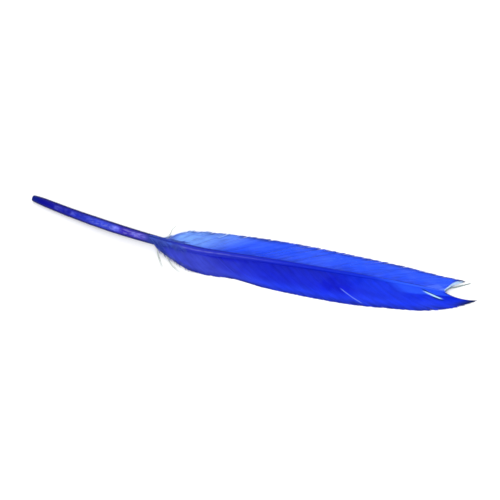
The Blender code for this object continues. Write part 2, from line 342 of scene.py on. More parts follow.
def makeShaft():
    dice = random.Random(shaft["seed"])
    bm = bmesh.new()
    upness, sideness = [bm.verts.layers.float.new(name) for name in ("upness", "sideness")]
    count = round(shaftLength / shaft["step"])
    lip, lipShare = shaft["lipLength"], shaft["lipShare"]
    places = [0.0, 0.12 * lip, 0.4 * lip, lip] + [shaftLength * i / count for i in range(1, count + 1)]
    shares = [lipShare, 0.5 + lipShare / 2, 0.97, 1.0] + [1.0] * (count - 1) + [shaft["endShare"]]
    swell, rings = 1.0, []
    for x, share in zip(places, shares):
        swell += shaft["evening"] * (1 - swell) + dice.uniform(-1, 1) * shaft["unevenness"]
        rings.append([])
        for point, up, side in shaftRing(x, share * swell):
            vert = bm.verts.new(toPart(point))
            vert[upness], vert[sideness] = up, side
            rings[-1].append(vert)
    pairs = [(i, (i + 1) % shaft["sides"]) for i in range(shaft["sides"])]
    for lower, upper in zip(rings, rings[1:]):
        for i, j in pairs:
            bm.faces.new((lower[i], lower[j], upper[j], upper[i]))
    bm.faces.new(rings[-1])

    # the pore in the quill's end narrows to a point
    middle = toPart(shaftMiddle(0.0))
    floor = bm.verts.new(toPart(shaftMiddle(shaft["poreDepth"])))
    mouth = []
    for vert in rings[0]:
        spoke = (vert.co - middle).normalized()
        mouth.append(bm.verts.new(middle + spoke * shaft["poreRadius"] * mm))
    for i, j in pairs:
        bm.faces.new((rings[0][j], rings[0][i], mouth[i], mouth[j]))
        bm.faces.new((mouth[j], mouth[i], floor))
    bmesh.ops.recalc_face_normals(bm, faces=bm.faces)
    piece = meshObject("shaft", bm)
    piece.data.shade_smooth()
    piece.data.set_sharp_from_angle(angle=math.radians(shaft["creaseAngle"]))
    return piece


def quillMaterial():
    material, tree, shader = startMaterial("dyedQuill")
    place = objectPlace(tree)
    along = plus(tree, splitVector(tree, place)["X"], boxCentre[0] * mm)
    lengthwise = calc(tree, "DIVIDE", along, shaftLength * mm)
    up, side = attribute(tree, "upness"), attribute(tree, "sideness")

    def alongShaft(key):
        return ramp(tree, lengthwise, [(x / shaftLength, value) for x, value in shaft[key]])

    # the round wall is darkest towards its edges, with painted shade on its far side and underneath, and clear
    # along its near upper side
    clear = plus(tree, times(tree, up, shaft["clearTowards"][0]), times(tree, side, shaft["clearTowards"][1]))
    nearSide = remap(tree, side, -0.5, 0.5, 1.0, 0.0, smooth=True)
    # painted shade: the edge colours take over away from the near upper side
    edge = blendColors(tree, nearSide, alongShaft("farEdgeShadeColors"), alongShaft("nearEdgeShadeColors"))
    color = blendColors(tree, remap(tree, clear, 0.55, 0.97, smooth=True), edge, alongShaft("middleColors"))

    # dry pith shows through the clear part in short pale dashes
    clouds = noise(tree, vectorMath(tree, "MULTIPLY", place, shaft["pithStretch"]))
    pith = times(tree, remap(tree, clouds, 0.45, 0.62, smooth=True), alongShaft("pithShare"),
                 remap(tree, clear, 0.80, 0.97, smooth=True))
    color = blendColors(tree, pith, color, alongShaft("pithColors"))

    # at a few places a lump of pith lies against the wall
    lumps = times(tree, alongShaft("lumpShare"), remap(tree, clouds, 0.35, 0.6, 0.45, 1.0),
                  remap(tree, clear, 0.82, 0.98, smooth=True))
    color = blendColors(tree, lumps, color, shaft["lumpColor"])

    # a narrow painted highlight runs along the near shoulder of the shaft where the vanes begin
    besideHighlight = calc(tree, "ABSOLUTE", calc(tree, "SUBTRACT", side, shaft["highlightAt"]))
    highlightLine = times(tree, remap(tree, besideHighlight, 0.05, 0.30, 1.0, 0.0, smooth=True),
                 calc(tree, "GREATER_THAN", up, 0.0), alongShaft("highlightShare"),
                 remap(tree, clouds, 0.38, 0.58, 0.35, 1.0))
    color = blendColors(tree, highlightLine, color, shaft["highlightColor"])

    mottled = placedGroup(tree, dyeMottle, {
        "Place": place, "Color": color, "Pale": (*shaft["deepDye"], 1.0), "Cloud Scale": shaft["cloudScale"],
        "Fleck Scale": shaft["fleckScale"], "Amount": alongShaft("mottleShare")})
    fibres = placedGroup(tree, fineFibres, {"Place": place, "Stretch": shaft["fibreStretch"], "Contrast": 0.6})
    feed(tree, shader, {
        "Base Color": scaled(tree, mottled["Color"], fibres["Tone"]),
        "Normal": bumped(tree, fibres["Height"], shaft["bump"], shaft["bumpDepth"]),
        "Roughness": remap(tree, mottled["Mask"], 0.0, 1.0, *shaft["roughness"]),
        "Coat Weight": remap(tree, along, *shaft["glossEnds"], shaft["gloss"], 0.0),
        "Coat Roughness": shaft["glossRoughness"], "Specular IOR Level": shaft["specular"]})
    return material


shaftPiece = makeShaft()
shaftPiece.data.materials.append(quillMaterial())
print("shaft made,", len(shaftPiece.data.polygons), "faces")


# Vanes: a bed of each vane's form, and barbs grown over it

# height of the back and of the vanes' edges: distance along the feather, height
crestHeight = (
    (40.0, 3.3), (50.0, 3.85), (65.0, 4.15), (80.0, 4.15), (97.0, 3.7),
    (112.0, 2.95), (124.0, 2.15), (132.0, 1.45), (141.0, 0.55),
)
edgeHeight = ((40.0, 2.1), (47.0, 1.25), (56.0, 0.3), (64.0, 0.2), (100.0, 0.2), (141.0, 0.2))
vaneForm = {
    "locks": 34, "lockJitter": 0.22, "ridgeAt": 0.62, "notch": 0.22,
    "fallPower": 1.5, "rootInset": 0.09, "sink": 0.06, "lowest": 0.12,
    "reliefFrom": 0.2, "reliefFade": 0.5, "rows": 18, "overrun": 1.06,
    "lap": 0.14,      # how far the barbs of one lock reach over the next one, in mm
    "mottlePale": (0.060, 0.125, 0.68), "cloudScale": 75.0, "fleckScale": 420.0,
}
barbForm = {
    "Barb Count": 214, "Steps": 20, "Bed Overrun": vaneForm["overrun"], "Ridge At": vaneForm["ridgeAt"],
    "Overlap": 1.55,          # width of a barb as a share of the gap between two
    "Thickness": 0.00009, "Rib Height": 0.00006,
    "Shingle": 0.00003,       # how far the tipward side of a barb lies above the other
    "Taper From": 0.93, "Sway": 0.00008,
}

farVane = {
    "name": "farVane", "side": 1, "seed": 3, "relief": 0.075, "slitRoot": None,
    "reach": (
        (40.0, 4.0), (46.0, 6.9), (53.0, 9.2), (70.0, 10.6), (90.0, 10.1), (110.0, 8.7), (125.0, 7.2), (141.0, 6.2),
    ),
    # chosen barbs: root along the shaft, tip along it, tip's distance from it, bow as a share of its length
    "barbs": (
        (40.6, 42.5, 3.0, 0.02), (42.6, 46.4, 6.1, 0.07), (43.8, 48.7, 8.0, 0.08), (45.0, 51.2, 9.0, 0.08),
        (49.0, 58.0, 10.0, 0.08), (57.0, 69.5, 10.5, 0.08), (71.0, 86.5, 10.2, 0.08), (86.0, 102.5, 9.1, 0.08),
        (101.0, 117.2, 7.9, 0.08), (112.0, 127.4, 6.6, 0.07), (119.5, 135.2, 5.8, 0.06), (124.2, 133.0, 4.4, 0.06),
        (129.5, 130.8, 1.5, 0.05),
    ),
    "Ragged": 0.025,
    "Clumping": 0.03,         # how far the outer ends draw together in each lock
    "Sparse Until": 0.06, "Sparse Width": 0.7, "Seed": 11, "mottle": 0.36, "streaks": 1.1,
    # the far vane is painted lighter than the near vane, partly its dye and partly painted light; the dark band
    # next to the shaft is painted shade
    # colours outwards from the shaft, then at the vane's base and at its dark tip
    "colors": (
        (0.0, (0.003, 0.010, 0.20)), (0.06, (0.003, 0.012, 0.26)), (0.12, (0.011, 0.052, 0.68)),
        (0.5, (0.016, 0.074, 0.80)), (1.0, (0.019, 0.082, 0.84)),
    ),
    # the pale base colour is partly the thin downy barbs' own colour and partly painted light shining through them
    "baseColor": (0.16, 0.33, 0.84), "baseUntil": 0.25, "startColor": (0.020, 0.046, 0.40), "startUntil": 0.052,
    "endColor": (0.040, 0.115, 0.84), "endFrom": 0.84,
    "edgeColor": (0.008, 0.022, 0.20), "edgeStrength": 0.8, "edgeFrom": 0.76,
    "tipColor": (0.010, 0.010, 0.06), "tipFrom": 0.0605, "tipTo": 0.0648,
    "sheen": 0.03, "specular": 0.07,
    # barbs that stand apart, pale ones partly their own colour and partly painted light on them and through the
    # slit, dark ones painted shade: root, from and to which share of the way out, half width, strength, colour
    "partings": (
        (125.2, 0.03, 0.50, 2.8, 0.5, (0.085, 0.17, 0.84)), (128.7, 0.03, 0.9, 1.0, 0.6, (0.11, 0.20, 0.84)),
    ),
}

nearVane = {
    "name": "nearVane", "side": -1, "seed": 8, "relief": 0.04,
    "slitRoot": 121.6, "slitShares": (0.16, 0.56), "slitWidth": 0.50, "slitAngle": 18.0,
    "reach": (
        (40.0, 3.4), (46.0, 5.0), (54.0, 6.1), (66.0, 6.3), (77.0, 7.7), (92.0, 8.8), (106.0, 8.8), (116.0, 8.2),
        (126.0, 7.0), (141.0, 5.0),
    ),
    "barbs": (
        (39.2, 41.4, 0.5, 0.03), (41.2, 45.2, 2.5, 0.05), (43.8, 49.6, 4.5, 0.07), (46.2, 53.2, 5.65, 0.08),
        (49.6, 58.8, 6.1, 0.08), (54.5, 66.5, 6.0, 0.08), (62.0, 75.5, 7.4, 0.08), (73.0, 88.6, 8.4, 0.08),
        (86.0, 102.0, 8.8, 0.08), (98.0, 113.6, 8.15, 0.08), (108.0, 124.0, 7.1, 0.08), (116.0, 132.2, 4.9, 0.09),
        (122.5, 137.2, 2.4, 0.12), (129.6, 140.0, 0.6, 0.16),
    ),
    "Ragged": 0.02, "Clumping": 0.02,
    "Sparse Until": 0.04, "Sparse Width": 0.8, "Seed": 23, "mottle": 0.10, "streaks": 0.7,
    # the near vane is painted darker than the far vane, partly its dye and partly painted shade, and it darkens
    # towards the shaft
    "colors": (
        (0.0, (0.002, 0.004, 0.34)), (0.14, (0.002, 0.005, 0.42)), (0.42, (0.003, 0.008, 0.49)),
        (0.72, (0.008, 0.028, 0.64)), (1.0, (0.014, 0.040, 0.70)),
    ),
    "baseColor": (0.032, 0.044, 0.43), "baseUntil": 0.36, "startColor": (0.014, 0.030, 0.24), "startUntil": 0.045,
    "endColor": (0.005, 0.034, 0.68), "endFrom": 0.58,
    "edgeColor": (0.005, 0.010, 0.16), "edgeStrength": 0.85, "edgeFrom": 0.70,
    "tipColor": (0.006, 0.012, 0.03), "tipFrom": 0.0625, "tipTo": 0.0690,
    "sheen": 0.01, "specular": 0.05,
    "partings": (
        (121.5, -0.10, 0.36, 8.0, 0.85, (0.024, 0.095, 0.80)), (92.3, 0.40, 0.90, 0.24, 0.6, (0.22, 0.34, 0.80)),
        (121.15, 0.14, 0.57, 0.56, 0.97, (0.36, 0.58, 0.84)), (122.1, 0.04, 0.50, 0.40, 0.92, (0.002, 0.022, 0.09)),
        (120.15, 0.36, 0.66, 0.50, 0.9, (0.002, 0.022, 0.10)), (129.4, 0.04, 1.20, 0.8, 0.75, (0.006, 0.005, 0.15)),
    ),
}


def barbPoint(vane, root, share):
    side = vane["side"]
    start = Vector((root, shaftSide(root) + side * vaneForm["rootInset"]))
    tip = Vector((through(vane["barbs"], root, 1), side * through(vane["barbs"], root, 2)))
    run = tip - start
    control = (start + tip) / 2 + Vector((-run.y, run.x)) * side * through(vane["barbs"], root, 3)
    return (1 - share) ** 2 * start + 2 * share * (1 - share) * control + share**2 * tip


def lockBorders(vane):
    dice = random.Random(vane["seed"])
    first, last = vane["barbs"][0][0], vane["barbs"][-1][0]
    locks = vaneForm["locks"]
    pitch = (last - first) / locks
    borders = [first + pitch * i for i in range(locks + 1)]
    for i in range(1, locks):
        borders[i] += pitch * dice.uniform(-vaneForm["lockJitter"], vaneForm["lockJitter"])
    if vane["slitRoot"]:
        nearest = min(range(locks), key=lambda i: abs(borders[i] - vane["slitRoot"]))
        borders[nearest] = vane["slitRoot"]
    return borders


def bedPoint(vane, root, crown, share):
    # crown is 0 at a lock's borders and 1 on its ridge
    side = vane["side"]
    length = (barbPoint(vane, root, 1.0) - barbPoint(vane, root, 0.0)).length
    nick = 0.0 if root >= vane["barbs"][-1][0] else vaneForm["notch"] * (1 - crown) / length
    x, y = barbPoint(vane, root, share * (1 - nick))
    away = min(abs(y - shaftSide(x)) / through(vane["reach"], x), 1.0)
    edge = through(edgeHeight, x)
    height = edge + (through(crestHeight, x) - edge) * (1 - away) ** vaneForm["fallPower"]
    height += (vane["relief"] * (2 * crown - 1) * min(share / vaneForm["reliefFrom"], 1.0)
               * (1 - vaneForm["reliefFade"] * share))
    return Vector((x, y, max(height - vaneForm["sink"], vaneForm["lowest"])))


def slitShift(vane, border, tipward, crown, share):
    # the two locks beside the slit lean apart, most at the slit itself
    if border != vane["slitRoot"]:
        return Vector()
    opens, closes = vane["slitShares"]
    if not opens < share < closes:
        return Vector()
    gape = vane["slitWidth"] / 2 * math.sin(math.pi * (share - opens) / (closes - opens)) * (1 - crown)
    angle = math.radians(vane["slitAngle"])
    return Vector((math.sin(angle), -vane["side"] * math.cos(angle), 0.0)) * gape * tipward


def vaneBed(vane):
    # one strip of quads for each lock, with a UV map: root along the vane, share of the way out
    bm = bmesh.new()
    bedUv = bm.loops.layers.uv.new("bedUv")
    layers = {key: bm.faces.layers.float.new(key) for key in ("lockStart", "lockEnd", "lockTone")}
    dice = random.Random(vane["Seed"])
    borders = lockBorders(vane)
    first, whole = borders[0], borders[-1] - borders[0]
    ridge, quarters = vaneForm["ridgeAt"], (0.0, 0.25, 0.5, 0.75)
    crossings = [ridge * part for part in quarters] + [part + ridge * (1 - part) for part in quarters] + [1.0]
    closed = (borders[0], borders[-1], vane["slitRoot"])
    laps = {border: 0.0 if border in closed else vaneForm["lap"] for border in borders}
    rows = [i / (vaneForm["rows"] - 1) for i in range(vaneForm["rows"])]
    for left, right in zip(borders, borders[1:]):
        tone = dice.random()
        columns = []
        for t in crossings:
            crown = t / ridge if t < ridge else (1 - t) / (1 - ridge)
            crown *= crown * (3 - 2 * crown)
            root = left + (right - left) * t
            border, tipward = (left, 1) if t < ridge else (right, -1)
            columns.append([])
            for row in rows:
                share = row * vaneForm["overrun"]
                point = bedPoint(vane, root, crown, share) + slitShift(vane, border, tipward, crown, share)
                columns[-1].append((bm.verts.new(toPart(point)), ((root - first) / whole, row)))
        for a, b in zip(columns, columns[1:]):
            for i in range(len(rows) - 1):
                corners = (a[i], b[i], b[i + 1], a[i + 1])
                if vane["side"] < 0:
                    corners = corners[::-1]
                face = bm.faces.new([corner[0] for corner in corners])
                for loop, corner in zip(face.loops, corners):
                    loop[bedUv].uv = corner[1]
                face[layers["lockStart"]] = (left - laps[left] - first) / whole
                face[layers["lockEnd"]] = (right + laps[right] - first) / whole
                face[layers["lockTone"]] = tone
    bed = meshObject(vane["name"], bm)
    bed.data.shade_smooth()
    return bed


def barbTree():
    tree, given, made = newGroup("barbs on a vane", "GeometryNodeTree", {
        "Bed": "Geometry", "Barb Count": "Int", "Steps": "Int", "Overlap": "Float", "Thickness": "Float",
        "Rib Height": "Float", "Shingle": "Float", "Taper From": "Float", "Ragged": "Float", "Clumping": "Float",
        "Sway": "Float", "Sparse Until": "Float", "Sparse Width": "Float", "Bed Overrun": "Float",
        "Ridge At": "Float", "Seed": "Int", "Material": "Material",
    }, {"Barbs": "Geometry"})

    def named(name, kind="FLOAT"):
        return addNode(tree, "GeometryNodeInputNamedAttribute", {"Name": name}, data_type=kind).outputs[0]

    def store(geometry, name, value, kind="FLOAT", domain="POINT"):
        sockets = {"Geometry": geometry, "Name": name, "Value": value}
        return addNode(tree, "GeometryNodeStoreNamedAttribute", sockets, data_type=kind, domain=domain).outputs[0]

    def onBed(value, uv, kind):
        sockets = {"Mesh": given["Bed"], "Value": value, "UV Map": named("bedUv", "FLOAT_VECTOR"), "Sample UV": uv}
        return addNode(tree, "GeometryNodeSampleUVSurface", sockets, data_type=kind).outputs[0]

    def mixed(factor, first, second):
        return addNode(tree, "ShaderNodeMix", {0: factor, 2: first, 3: second}).outputs[0]

    # one point for each barb, with its place along the shaft and its lock's range
    index = addNode(tree, "GeometryNodeInputIndex").outputs[0]
    count, seed = given["Barb Count"], given["Seed"]
    place = calc(tree, "DIVIDE", plus(tree, index, diceValue(tree, seed, 0.36, 0.64)), count)
    points = addNode(tree, "GeometryNodePoints", {"Count": count}).outputs[0]
    points = store(points, "rootShare", place)
    points = store(points, "barbNumber", index)
    points = store(points, "barbTone", diceValue(tree, seed, 0.0, 1.0, 1))
    points = store(points, "shortness", calc(tree, "POWER", diceValue(tree, seed, 0.0, 1.0, 2), 2.0))
    middle = vectorOf(tree, named("rootShare"), 0.5)
    for name in ("lockStart", "lockEnd", "lockTone"):
        points = store(points, name, onBed(named(name), middle, "FLOAT"))

    # the pattern of a barb: a closed eight-sided strip with a rib along its upper face
    strip = addNode(tree, "GeometryNodeMeshCylinder", {
        "Vertices": 8, "Side Segments": given["Steps"], "Radius": 1.0, "Depth": 1.0}, fill_type="NGON").outputs
    position = addNode(tree, "GeometryNodeInputPosition").outputs[0]
    corner = splitVector(tree, position)
    sideways = times(tree, corner["X"], calc(tree, "ABSOLUTE", corner["X"]))
    plate = calc(tree, "MAXIMUM", calc(tree, "MINIMUM", times(tree, corner["Y"], 1.42), 1.0), -1.0)
    rib = remap(tree, corner["Y"], 0.72, 1.0)
    pattern = store(strip["Mesh"], "stripUv", strip["UV Map"], "FLOAT2", "CORNER")
    pattern = store(pattern, "share", plus(tree, corner["Z"], 0.5))
    pattern = store(pattern, "section", vectorOf(tree, sideways, plate, rib), "FLOAT_VECTOR")
    rows = addNode(tree, "GeometryNodeInstanceOnPoints", {"Points": points, "Instance": pattern}).outputs[0]
    barbs = addNode(tree, "GeometryNodeRealizeInstances", {"Geometry": rows}).outputs[0]

    # width of the barb here, and its middle, kept inside its lock
    share, root = named("share"), named("rootShare")
    across = splitVector(tree, named("section", "FLOAT_VECTOR"))
    halfGap = calc(tree, "DIVIDE", times(tree, given["Overlap"], 0.5), count)
    taper = remap(tree, share, given["Taper From"], 1.0, 1.0, 0.3)
    sparse = remap(tree, root, 0.0, given["Sparse Until"], given["Sparse Width"], 1.0)
    lockStart, lockEnd = named("lockStart"), named("lockEnd")
    centre = calc(tree, "MAXIMUM", root, plus(tree, lockStart, halfGap))
    centre = calc(tree, "MINIMUM", centre, calc(tree, "SUBTRACT", lockEnd, halfGap))
    ridge = mixed(given["Ridge At"], lockStart, lockEnd)
    centre = mixed(remap(tree, share, 0.5, 1.0, 0.0, given["Clumping"]), centre, ridge)
    bedX = plus(tree, centre, times(tree, across["X"], times(tree, taper, sparse, halfGap)))
    length = calc(tree, "SUBTRACT", 1.015, times(tree, named("shortness"), given["Ragged"]))
    bedY = calc(tree, "DIVIDE", times(tree, share, length), given["Bed Overrun"])
    uv = vectorOf(tree, bedX, bedY)
    ground = onBed(position, uv, "FLOAT_VECTOR")
    upright = onBed(addNode(tree, "GeometryNodeInputNormal").outputs[0], uv, "FLOAT_VECTOR")

    # height over the bed: plate, rib, shingled sides and a slow sway
    flat = times(tree, across["Y"], given["Thickness"], remap(tree, share, 0.0, 1.0, 0.5, 0.3))
    ribbed = times(tree, across["Z"], given["Rib Height"], remap(tree, share, 0.0, 1.0, 1.3, 0.4))
    shingled = times(tree, across["X"], given["Shingle"])
    waves = noise(tree, vectorOf(tree, times(tree, root, 55.0), times(tree, share, 4.0), seed))
    sway = times(tree, calc(tree, "SUBTRACT", waves, 0.5), given["Sway"], remap(tree, share, 0.1, 0.6, 0.0, 2.0))
    rise = plus(tree, plus(tree, flat, ribbed), plus(tree, shingled, sway))
    settled = vectorMath(tree, "ADD", ground, scaled(tree, upright, rise))
    barbs = addNode(tree, "GeometryNodeSetPosition", {"Geometry": barbs, "Position": settled}).outputs[0]

    # each barb has its own cell of the UV map, in four columns, and its end caps take a small share of it
    columns, capShare = 4.0, 0.12
    stripUv = splitVector(tree, named("stripUv", "FLOAT_VECTOR"))
    sides = calc(tree, "SUBTRACT", times(tree, stripUv["Y"], 2 - capShare), 1 - capShare)
    lengthwise = calc(tree, "MAXIMUM", times(tree, stripUv["Y"], capShare), sides)
    cellRows = calc(tree, "CEIL", calc(tree, "DIVIDE", count, columns))
    number = named("barbNumber")
    column = calc(tree, "FLOOR", calc(tree, "DIVIDE", plus(tree, number, 0.5), cellRows))
    row = calc(tree, "SUBTRACT", number, times(tree, column, cellRows))
    cellX = calc(tree, "DIVIDE", plus(tree, column, times(tree, lengthwise, 0.985)), columns)
    cellY = calc(tree, "DIVIDE", plus(tree, row, times(tree, stripUv["X"], 0.92)), cellRows)
    barbs = store(barbs, "OFBake", vectorOf(tree, cellX, cellY), "FLOAT2", "CORNER")

    onRim = calc(tree, "GREATER_THAN", calc(tree, "ABSOLUTE", across["X"]), 0.9)
    creased = addNode(tree, "GeometryNodeSetShadeSmooth", {
        "Geometry": barbs, "Selection": onRim, "Shade Smooth": False}, domain="EDGE").outputs[0]
    painted = {"Geometry": creased, "Material": given["Material"]}
    feed(tree, made, {"Barbs": addNode(tree, "GeometryNodeSetMaterial", painted).outputs[0]})
    return tree


def vaneMaterial(vane):
    material, tree, shader = startMaterial(vane["name"] + "Barbs")
    share, root = attribute(tree, "share"), attribute(tree, "rootShare")
    sideways = calc(tree, "ABSOLUTE", splitVector(tree, attribute(tree, "section", "Vector"))["X"])
    place = objectPlace(tree)

    def painted(color, newColor, *masks):
        return blendColors(tree, times(tree, *masks), color, newColor)

    baseUntil, startUntil, endFrom = vane["baseUntil"], vane["startUntil"], vane["endFrom"]
    color = ramp(tree, share, vane["colors"], smooth=True)
    color = painted(color, vane["baseColor"],
                    remap(tree, root, baseUntil * 0.3, baseUntil, 1.0, 0.0, smooth=True),
                    remap(tree, share, 0.08, 0.19, 0.1, 1.0, smooth=True))
    color = painted(color, vane["startColor"],
                    remap(tree, root, startUntil * 0.4, startUntil, 0.9, 0.0, smooth=True))
    color = painted(color, vane["endColor"],
                    remap(tree, root, endFrom, endFrom + 0.15, 0.0, 0.6, smooth=True),
                    remap(tree, share, 0.3, 0.9, 1.0, 0.3))
    mottled = placedGroup(tree, dyeMottle, {
        "Place": place, "Color": color, "Pale": (*vaneForm["mottlePale"], 1.0),
        "Cloud Scale": vaneForm["cloudScale"], "Fleck Scale": vaneForm["fleckScale"], "Amount": vane["mottle"]})

    # streaks follow the barbs, in bunches of a few barbs
    streaks = placedGroup(tree, fineFibres, {
        "Place": vectorOf(tree, root, share), "Stretch": (48.0, 2.6, 1.0), "Contrast": vane["streaks"]})
    tone = plus(tree, times(tree, attribute(tree, "barbTone"), 0.10),
                times(tree, attribute(tree, "lockTone"), 0.10), 0.90)
    # barbs are painted darker along their sides, a painted shade in the grooves between them
    tone = times(tree, tone, streaks["Tone"], remap(tree, sideways, 0.55, 1.0, 1.0, 0.82))
    color = scaled(tree, mottled["Color"], tone)

    # the thin rim is a little darker, more so in places
    color = painted(color, vane["edgeColor"],
                    remap(tree, share, vane["edgeFrom"], 0.97, 0.0, vane["edgeStrength"], smooth=True),
                    remap(tree, streaks["Height"], 0.35, 0.6, 1.0, 0.5))

    # the outer ends turn dark at the tip
    color = painted(color, vane["tipColor"],
                    remap(tree, splitVector(tree, place)["X"], vane["tipFrom"], vane["tipTo"], smooth=True),
                    remap(tree, share, 0.55, 0.95, 0.0, 0.9, smooth=True))
    first, last = vane["barbs"][0][0], vane["barbs"][-1][0]
    # painted light and painted shade where barbs stand apart
    for spot, opens, closes, halfWidth, strength, lightAndShadeColor in vane["partings"]:
        middle, half = (spot - first) / (last - first), halfWidth / (last - first)
        beside = calc(tree, "ABSOLUTE", calc(tree, "SUBTRACT", root, middle))
        color = painted(color, lightAndShadeColor, remap(tree, beside, half * 0.7, half * 1.3, strength, 0.0),
                        remap(tree, share, opens, opens + 0.08, smooth=True),
                        remap(tree, share, closes - 0.1, closes, 1.0, 0.0, smooth=True))

    # barbules: fine oblique teeth along both sides of the rib
    teeth = calc(tree, "SINE", plus(tree, times(tree, share, 900.0), times(tree, sideways, -9.0)))
    height = plus(tree, times(tree, teeth, 0.35), streaks["Height"])
    feed(tree, shader, {
        "Base Color": color, "Normal": bumped(tree, height, 0.25, 0.00003),
        "Roughness": remap(tree, streaks["Height"], 0.3, 0.7, 0.40, 0.54),
        "Specular IOR Level": vane["specular"], "Sheen Weight": vane["sheen"],
        "Sheen Roughness": 0.4, "Sheen Tint": (0.45, 0.6, 1.0, 1.0)})
    return material


barbs = barbTree()
vanePieces = []
for vane in (farVane, nearVane):
    piece = growWith(vaneBed(vane), barbs, {**barbForm, **treeInputs(vane), "Material": vaneMaterial(vane)})
    vanePieces.append(piece)
    print(vane["name"], "grown,", len(piece.data.polygons), "faces")


# Loose strand and pale barb at the tip, fuzz, wisps and downy hairs at the base

strandForm = {
    "routeSteps": 24, "routeLowest": 0.2, "swing": 2.2,
    "Lowest": 0.00003,      # no hair hangs below this height over the floor
}

looseStrand = {
    "routes": (((129.9, 0.2, 1.5), (131.1, 1.75, 1.15), (133.2, 2.95, 0.8), (137.1, 5.3, 0.4)),),
    "hairs": 4, "spread": 0.34, "seed": 4,
    "Root Width": 0.00034, "Tip Width": 0.00019, "Steps": 26, "Side Hairs": 10, "Hair Length": 0.0005,
    "color": (0.10, 0.15, 0.15), "pale": (0.24, 0.30, 0.29),
}
paleBarb = {
    # thin pale barb ends between the strand and the far vane's tip, partly their own colour and partly a painted
    # highlight
    "routes": (((129.6, 0.5, 1.55), (131.2, 2.5, 1.2), (132.8, 4.0, 0.95), (134.6, 5.1, 0.7)),),
    "hairs": 10, "spread": 0.62, "seed": 12,
    "Root Width": 0.00032, "Tip Width": 0.00016, "Steps": 20, "Side Hairs": 12, "Hair Length": 0.0006,
    "color": (0.30, 0.46, 0.74), "pale": (0.48, 0.64, 0.78),
}
baseFuzz = {
    # short barbs that lie over the shaft where the vanes begin: from and to which root, reach to either side
    "fromRoot": 38.2, "toRoot": 48.5, "barbs": 72, "reach": (0.9, 2.3), "sweep": (2.0, 4.2), "lift": 0.22,
    "rootSide": 0.25, "rootUp": 0.85, "innerSide": 0.3, "curl": 1.4, "slope": 0.55, "sink": 0.05,
    # the far side's share of that reach, and over how many mm it is gained
    "farReach": 0.75, "farRamp": 5.0,
    "hairs": 1, "spread": 0.15, "seed": 6,
    "Root Width": 0.00026, "Tip Width": 0.00008, "Steps": 14, "Side Hairs": 10, "Hair Length": 0.0006,
    "color": (0.010, 0.032, 0.30), "pale": (0.022, 0.064, 0.46),
}
downWisps = {
    "routes": (
        ((43.0, 1.6, 3.2), (44.5, 4.6, 2.9), (44.8, 7.4, 2.5), (46.2, 9.7, 2.2)),
        ((41.2, 1.2, 2.4), (41.9, -1.2, 1.3), (43.3, -3.9, 0.8), (45.2, -7.2, 0.7)),
        ((43.0, 1.0, 2.6), (45.2, -2.4, 1.1), (47.5, -4.9, 0.6), (50.2, -6.6, 0.5)),
    ),
    "hairs": 4, "spread": 0.6, "seed": 9,
    "Root Width": 0.00010, "Tip Width": 0.00004, "Steps": 22, "Side Hairs": 22, "Hair Length": 0.0009,
    "color": (0.36, 0.42, 0.39), "pale": (0.58, 0.63, 0.55),
}

# downy hairs that stick out of each vane's edge near its base, thinning out along it
edgeDown = {
    "crowding": 1.6, "lift": 0.12, "inner": 0.7, "rim": 0.98, "hairs": 1, "spread": 0.1,
    "Root Width": 0.00014, "Tip Width": 0.00005, "Steps": 10, "Side Hairs": 6, "Hair Length": 0.0004,
}
farDown = {
    **edgeDown, "vane": farVane, "fromRoot": 40.8, "toRoot": 52.0, "edgeHairs": 60,
    "reach": (0.3, 1.1), "spreading": (0.0, 0.9), "droop": 0.2, "seed": 31,
    "color": (0.10, 0.24, 0.74), "pale": (0.24, 0.42, 0.82),
}
nearDown = {
    **edgeDown, "vane": nearVane, "fromRoot": 39.6, "toRoot": 46.5, "edgeHairs": 34,
    "reach": (0.3, 1.2), "spreading": (0.0, 0.8), "droop": 0.3, "seed": 37,
    "color": (0.010, 0.018, 0.15), "pale": (0.05, 0.07, 0.42),
}


